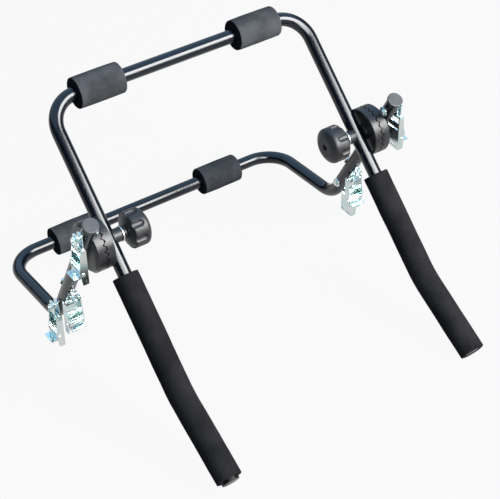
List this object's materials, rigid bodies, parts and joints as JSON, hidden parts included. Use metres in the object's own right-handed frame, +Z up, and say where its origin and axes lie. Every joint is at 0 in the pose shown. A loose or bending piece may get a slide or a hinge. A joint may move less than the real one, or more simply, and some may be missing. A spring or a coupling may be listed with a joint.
{
  "type": "strap-on rear bike carrier",
  "caption": "Folding strap-on rear bike carrier: two bent tube frames joined by toothed hubs with hand knobs, foam-covered arms and pads, and cam buckles for the straps",
  "frame": {"origin": "on the floor under the middle of the carrier, at the bottom centre of its bounding box", "axes": "+X to the carrier's right, seen from behind the arms' tips looking at the car side; the arms point to -Y and the padded bars are at +Y; +Z up"},
  "size_m": [0.694, 0.7272, 0.4782],
  "materials": {
    "black_paint": "gloss",
    "black_foam": "matte",
    "gloss_cap": "gloss",
    "grey_cap": "satin",
    "hub_plastic": "satin",
    "knob_plastic": "satin",
    "hub_steel": "satin",
    "zinc_sheet": "satin",
    "zinc_fastener": "satin",
    "spring_steel": "satin"
  },
  "bodies": {
    "upper_frame": {"upper_frame_tube": "black_paint", "right_upper_pad": "black_foam", "right_arm_sleeve": "black_foam", "right_arm_cap": "gloss_cap", "right_inner_ratchet": "hub_plastic", "right_hub_bush": "knob_plastic", "left_upper_pad": "black_foam", "left_arm_sleeve": "black_foam", "left_arm_cap": "gloss_cap", "left_inner_ratchet": "hub_plastic", "left_hub_bush": "knob_plastic"},
    "lower_frame": {"lower_frame_tube": "black_paint", "buckle_bolts": "zinc_fastener", "buckle_washers": "zinc_fastener", "buckle_nuts": "zinc_fastener", "right_lower_pad": "black_foam", "right_stub_cap": "grey_cap", "right_outer_ratchet": "hub_plastic", "right_hub_bolt": "hub_steel", "left_lower_pad": "black_foam", "left_stub_cap": "grey_cap", "left_outer_ratchet": "hub_plastic", "left_hub_bolt": "hub_steel"},
    "right_washer": {"right_hub_washer": "hub_steel"},
    "right_knob": {"right_hand_knob": "knob_plastic", "right_knob_insert": "hub_steel"},
    "right_top_bracket": {"right_top_buckle_bracket": "zinc_sheet"},
    "right_top_buckle": {"right_top_buckle_frame": "zinc_sheet", "right_top_buckle_pins": "zinc_fastener", "right_top_buckle_cam_spring": "spring_steel"},
    "right_top_lever": {"right_top_buckle_cam_lever": "zinc_sheet"},
    "right_back_bracket": {"right_back_buckle_bracket": "zinc_sheet"},
    "right_back_buckle": {"right_back_buckle_frame": "zinc_sheet", "right_back_buckle_pins": "zinc_fastener", "right_back_buckle_cam_spring": "spring_steel"},
    "right_back_lever": {"right_back_buckle_cam_lever": "zinc_sheet"},
    "right_foot_bracket": {"right_foot_buckle_bracket": "zinc_sheet"},
    "right_foot_buckle": {"right_foot_buckle_frame": "zinc_sheet", "right_foot_buckle_pins": "zinc_fastener", "right_foot_buckle_cam_spring": "spring_steel"},
    "right_foot_lever": {"right_foot_buckle_cam_lever": "zinc_sheet"},
    "left_washer": {"left_hub_washer": "hub_steel"},
    "left_knob": {"left_hand_knob": "knob_plastic", "left_knob_insert": "hub_steel"},
    "left_top_bracket": {"left_top_buckle_bracket": "zinc_sheet"},
    "left_top_buckle": {"left_top_buckle_frame": "zinc_sheet", "left_top_buckle_pins": "zinc_fastener", "left_top_buckle_cam_spring": "spring_steel"},
    "left_top_lever": {"left_top_buckle_cam_lever": "zinc_sheet"},
    "left_back_bracket": {"left_back_buckle_bracket": "zinc_sheet"},
    "left_back_buckle": {"left_back_buckle_frame": "zinc_sheet", "left_back_buckle_pins": "zinc_fastener", "left_back_buckle_cam_spring": "spring_steel"},
    "left_back_lever": {"left_back_buckle_cam_lever": "zinc_sheet"},
    "left_foot_bracket": {"left_foot_buckle_bracket": "zinc_sheet"},
    "left_foot_buckle": {"left_foot_buckle_frame": "zinc_sheet", "left_foot_buckle_pins": "zinc_fastener", "left_foot_buckle_cam_spring": "spring_steel"},
    "left_foot_lever": {"left_foot_buckle_cam_lever": "zinc_sheet"}
  },
  "joints": [
    {"name": "frame_fold", "type": "hinge", "parent": "upper_frame", "child": "lower_frame", "pos_m": [0, 0.00388, 0.28481], "axis": [-1, 0, 0], "range_deg": [-60.01, 90.01]},
    {"name": "right_knob_feed", "type": "slide", "parent": "lower_frame", "child": "right_washer", "axis": [-1, 0, 0], "range_m": [0, 0.0045]},
    {"name": "right_knob_turn", "type": "hinge", "parent": "right_washer", "child": "right_knob", "pos_m": [0.22, 0.00388, 0.28481], "axis": [-1, 0, 0], "range_deg": [0, 1080]},
    {"name": "right_top_bracket_swivel", "type": "hinge", "parent": "lower_frame", "child": "right_top_bracket", "pos_m": [0.3215, -0.02322, 0.33595], "axis": [1, 0, 0], "range_deg": [-75, 0]},
    {"name": "right_top_buckle_swing", "type": "hinge", "parent": "right_top_bracket", "child": "right_top_buckle", "pos_m": [0.3269, -0.02322, 0.31795], "axis": [0, -1, 0], "range_deg": [0, 75]},
    {"name": "right_top_lever_press", "type": "hinge", "parent": "right_top_buckle", "child": "right_top_lever", "pos_m": [0.331, -0.02322, 0.27095], "axis": [0, 1, 0], "range_deg": [0, 35], "stiffness_Nm_per_rad": 0.05, "springref_deg": -28.65},
    {"name": "right_back_bracket_swivel", "type": "hinge", "parent": "lower_frame", "child": "right_back_bracket", "pos_m": [0.309, 0.06401, 0.14465], "axis": [0, -0.8836, -0.4682], "range_deg": [-45, 45]},
    {"name": "right_back_buckle_swing", "type": "hinge", "parent": "right_back_bracket", "child": "right_back_buckle", "pos_m": [0.309, 0.06766, 0.12622], "axis": [-1, 0, 0], "range_deg": [-8, 60]},
    {"name": "right_back_lever_press", "type": "hinge", "parent": "right_back_buckle", "child": "right_back_lever", "pos_m": [0.309, 0.06356, 0.07922], "axis": [1, 0, 0], "range_deg": [0, 35], "stiffness_Nm_per_rad": 0.05, "springref_deg": -28.65},
    {"name": "right_foot_bracket_swivel", "type": "hinge", "parent": "lower_frame", "child": "right_foot_bracket", "pos_m": [0.3215, 0.10315, 0.09749], "axis": [1, 0, 0], "range_deg": [-14, 60]},
    {"name": "right_foot_buckle_swing", "type": "hinge", "parent": "right_foot_bracket", "child": "right_foot_buckle", "pos_m": [0.3269, 0.10315, 0.07949], "axis": [0, -1, 0], "range_deg": [0, 75]},
    {"name": "right_foot_lever_press", "type": "hinge", "parent": "right_foot_buckle", "child": "right_foot_lever", "pos_m": [0.331, 0.10315, 0.03249], "axis": [0, 1, 0], "range_deg": [0, 35], "stiffness_Nm_per_rad": 0.05, "springref_deg": -28.65},
    {"name": "left_knob_feed", "type": "slide", "parent": "lower_frame", "child": "left_washer", "axis": [1, 0, 0], "range_m": [0, 0.0045]},
    {"name": "left_knob_turn", "type": "hinge", "parent": "left_washer", "child": "left_knob", "pos_m": [-0.22, 0.00388, 0.28481], "axis": [1, 0, 0], "range_deg": [0, 1080]},
    {"name": "left_top_bracket_swivel", "type": "hinge", "parent": "lower_frame", "child": "left_top_bracket", "pos_m": [-0.3215, -0.02322, 0.33595], "axis": [1, 0, 0], "range_deg": [-75, 0]},
    {"name": "left_top_buckle_swing", "type": "hinge", "parent": "left_top_bracket", "child": "left_top_buckle", "pos_m": [-0.3269, -0.02322, 0.31795], "axis": [0, 1, 0], "range_deg": [0, 75]},
    {"name": "left_top_lever_press", "type": "hinge", "parent": "left_top_buckle", "child": "left_top_lever", "pos_m": [-0.331, -0.02322, 0.27095], "axis": [0, -1, 0], "range_deg": [0, 35], "stiffness_Nm_per_rad": 0.05, "springref_deg": -28.65},
    {"name": "left_back_bracket_swivel", "type": "hinge", "parent": "lower_frame", "child": "left_back_bracket", "pos_m": [-0.309, 0.06401, 0.14465], "axis": [0, 0.8836, 0.4682], "range_deg": [-45, 45]},
    {"name": "left_back_buckle_swing", "type": "hinge", "parent": "left_back_bracket", "child": "left_back_buckle", "pos_m": [-0.309, 0.06766, 0.12622], "axis": [-1, 0, 0], "range_deg": [-8, 60]},
    {"name": "left_back_lever_press", "type": "hinge", "parent": "left_back_buckle", "child": "left_back_lever", "pos_m": [-0.309, 0.06356, 0.07922], "axis": [1, 0, 0], "range_deg": [0, 35], "stiffness_Nm_per_rad": 0.05, "springref_deg": -28.65},
    {"name": "left_foot_bracket_swivel", "type": "hinge", "parent": "lower_frame", "child": "left_foot_bracket", "pos_m": [-0.3215, 0.10315, 0.09749], "axis": [1, 0, 0], "range_deg": [-14, 60]},
    {"name": "left_foot_buckle_swing", "type": "hinge", "parent": "left_foot_bracket", "child": "left_foot_buckle", "pos_m": [-0.3269, 0.10315, 0.07949], "axis": [0, 1, 0], "range_deg": [0, 75]},
    {"name": "left_foot_lever_press", "type": "hinge", "parent": "left_foot_buckle", "child": "left_foot_lever", "pos_m": [-0.331, 0.10315, 0.03249], "axis": [0, -1, 0], "range_deg": [0, 35], "stiffness_Nm_per_rad": 0.05, "springref_deg": -28.65}
  ],
  "couplings": [
    {"joint": "right_knob_feed", "follows": "right_knob_turn", "m_per_rad": 0.00023873},
    {"joint": "left_knob_feed", "follows": "left_knob_turn", "m_per_rad": 0.00023873}
  ]
}
